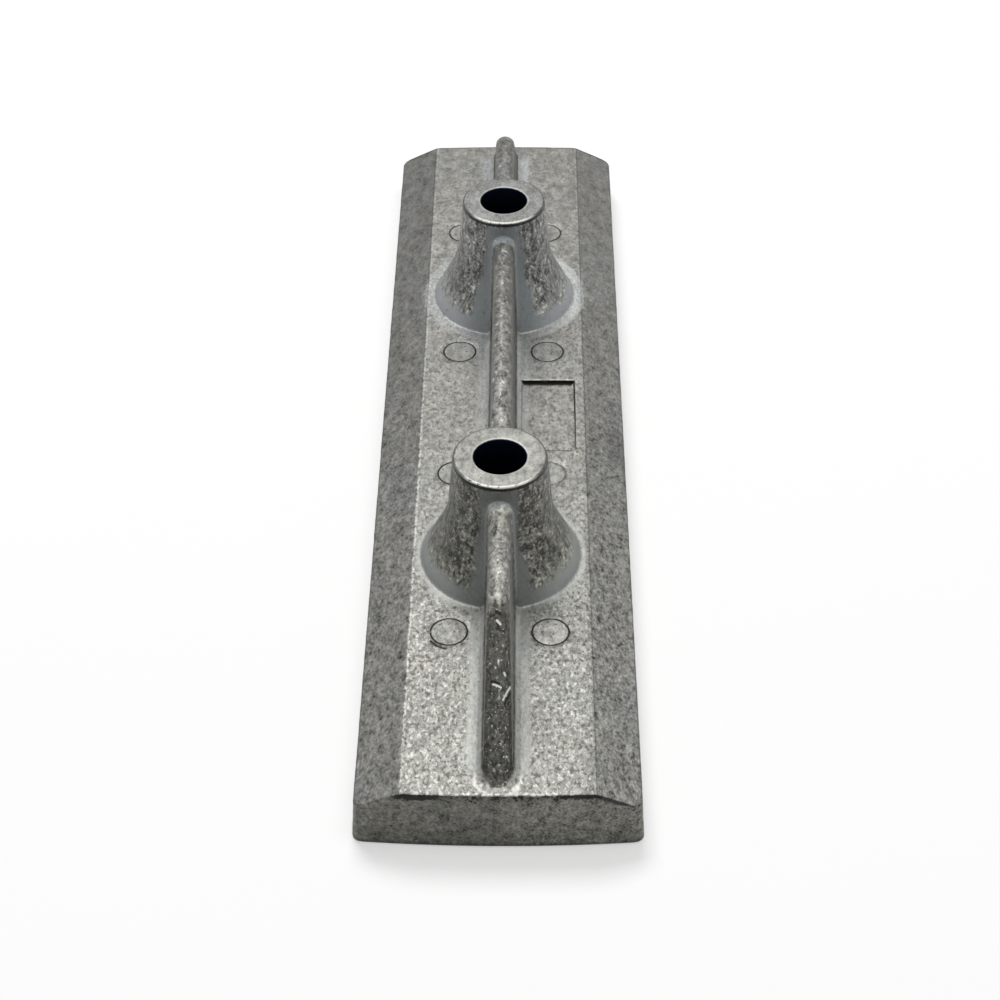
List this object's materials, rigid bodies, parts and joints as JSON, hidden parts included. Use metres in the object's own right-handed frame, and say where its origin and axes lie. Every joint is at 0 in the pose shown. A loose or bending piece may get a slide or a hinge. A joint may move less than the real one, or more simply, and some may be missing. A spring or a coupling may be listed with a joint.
{
  "type": "sacrificial anode",
  "caption": "Cast bar anode: long chamfered bar with flared through-bored bosses joined by a tall tapering rib.",
  "frame": {"origin": "middle of the flat back, which is the face it lies on", "axes": "+Z from the flat back to the boss faces, +Y along the bar towards the end away from the viewer, +X across the bar, towards the side with the shallow panel"},
  "size_m": [0.0532, 0.2158, 0.0385],
  "materials": {
    "cast_alloy": "as-cast, matt with fine brown-grey mottling"
  },
  "bodies": {
    "root": {"anode_casting": "cast_alloy"}
  },
  "joints": []
}
